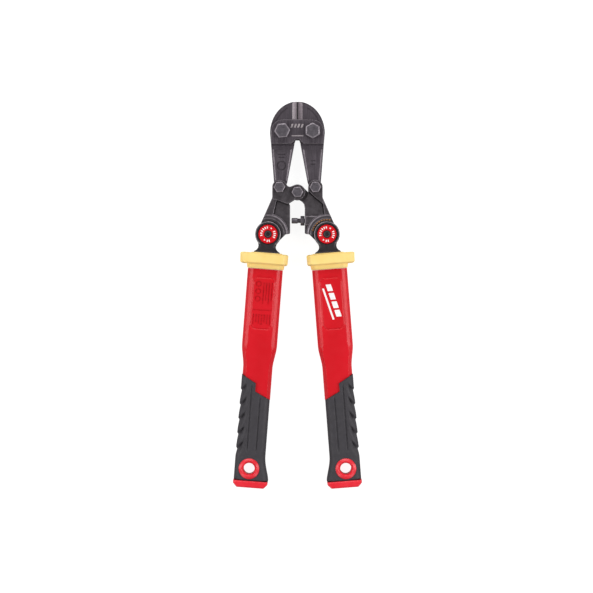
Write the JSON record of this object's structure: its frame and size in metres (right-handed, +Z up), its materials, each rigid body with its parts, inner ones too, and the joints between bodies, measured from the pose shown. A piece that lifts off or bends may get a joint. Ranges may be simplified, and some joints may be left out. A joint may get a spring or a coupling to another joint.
{
  "type": "bolt cutters",
  "caption": "Compact bolt cutters with forged jaws, straps, a toggle linkage and handles that fold outward behind push-button locks.",
  "frame": {"origin": "centre of the tool's bounding box, on the surface that it lies on", "axes": "+Y towards the jaws' tips, +Z up out of the tool's front face, +X to the right seen from the front"},
  "size_m": [0.122, 0.3674, 0.034],
  "materials": {
    "forged_steel": "forged, ground on the blades, blackened",
    "cast_steel": "cast, blackened, satin",
    "bolt_steel": "black oxide, satin",
    "hub_steel": "cast, black enamel",
    "spring_steel": "drawn wire",
    "red_plastic": "moulded, glossy",
    "yellow_plastic": "moulded, satin",
    "grip_rubber": "overmoulded soft rubber, fine texture",
    "glass_fibre": "pultruded glass fibre"
  },
  "bodies": {
    "head": {"strap_front": "forged_steel", "strap_back": "forged_steel", "jaw_pivot_left_bolt": "bolt_steel", "jaw_pivot_left_nut": "bolt_steel", "jaw_pivot_right_bolt": "bolt_steel", "jaw_pivot_right_nut": "bolt_steel"},
    "jaw_left": {"jaw_left": "forged_steel"},
    "jaw_right": {"jaw_right": "forged_steel"},
    "bracket_left": {"bracket_left": "cast_steel", "link_left_bolt": "bolt_steel", "link_left_nut": "bolt_steel", "centre_bolt": "bolt_steel", "centre_nut": "bolt_steel", "pivot_bolt_left": "hub_steel", "pivot_nut_left": "bolt_steel", "lock_spring_left": "spring_steel"},
    "bracket_right": {"bracket_right": "cast_steel", "link_right_bolt": "bolt_steel", "link_right_nut": "bolt_steel", "stop_screw": "bolt_steel", "stop_screw_jam_nut": "bolt_steel", "pivot_bolt_right": "hub_steel", "pivot_nut_right": "bolt_steel", "lock_spring_right": "spring_steel"},
    "lock_left": {"lock_gear_left": "bolt_steel", "push_button_left": "red_plastic"},
    "handle_left": {"hub_left": "hub_steel", "hand_guard_left": "yellow_plastic", "handle_shell_left": "red_plastic", "handle_core_left": "glass_fibre", "handle_pin_left": "bolt_steel", "grip_left": "grip_rubber", "end_cap_left": "red_plastic", "eyelet_left": "red_plastic"},
    "lock_right": {"lock_gear_right": "bolt_steel", "push_button_right": "red_plastic"},
    "handle_right": {"hub_right": "hub_steel", "hand_guard_right": "yellow_plastic", "handle_shell_right": "red_plastic", "handle_core_right": "glass_fibre", "handle_pin_right": "bolt_steel", "grip_right": "grip_rubber", "end_cap_right": "red_plastic", "eyelet_right": "red_plastic"}
  },
  "joints": [
    {"name": "left_jaw_swing", "type": "hinge", "parent": "head", "child": "jaw_left", "pos_m": [-0.0144, 0.15565, 0.017], "axis": [0, 0, 1], "range_deg": [0, 10]},
    {"name": "handles_open", "type": "hinge", "parent": "jaw_left", "child": "bracket_left", "pos_m": [-0.017, 0.1024, 0.017], "axis": [0, 0, -1], "range_deg": [0, 58.5]},
    {"name": "right_jaw_swing", "type": "hinge", "parent": "head", "child": "jaw_right", "pos_m": [0.0144, 0.15565, 0.017], "axis": [0, 0, -1], "range_deg": [0, 10]},
    {"name": "right_handle_open", "type": "hinge", "parent": "jaw_right", "child": "bracket_right", "pos_m": [0.017, 0.1024, 0.017], "axis": [0, 0, 1], "range_deg": [0, 58.5]},
    {"name": "left_handle_fold", "type": "hinge", "parent": "bracket_left", "child": "handle_left", "pos_m": [-0.0279, 0.05775, 0.017], "axis": [0, 0, -1], "range_deg": [0, 85.5]},
    {"name": "left_button_press", "type": "slide", "parent": "bracket_left", "child": "lock_left", "axis": [0, 0, -1], "range_m": [0, 0.003], "stiffness_N_per_m": 1500, "deforming": ["lock_spring_left"]},
    {"name": "right_handle_fold", "type": "hinge", "parent": "bracket_right", "child": "handle_right", "pos_m": [0.0279, 0.05775, 0.017], "axis": [0, 0, 1], "range_deg": [0, 85.5]},
    {"name": "right_button_press", "type": "slide", "parent": "bracket_right", "child": "lock_right", "axis": [0, 0, -1], "range_m": [0, 0.003], "stiffness_N_per_m": 1500, "deforming": ["lock_spring_right"]}
  ],
  "couplings": [
    {"joint": "left_jaw_swing", "follows": "handles_open", "ratio": 0.17094},
    {"joint": "right_jaw_swing", "follows": "handles_open", "ratio": 0.17094},
    {"joint": "right_handle_open", "follows": "handles_open", "ratio": 1}
  ]
}
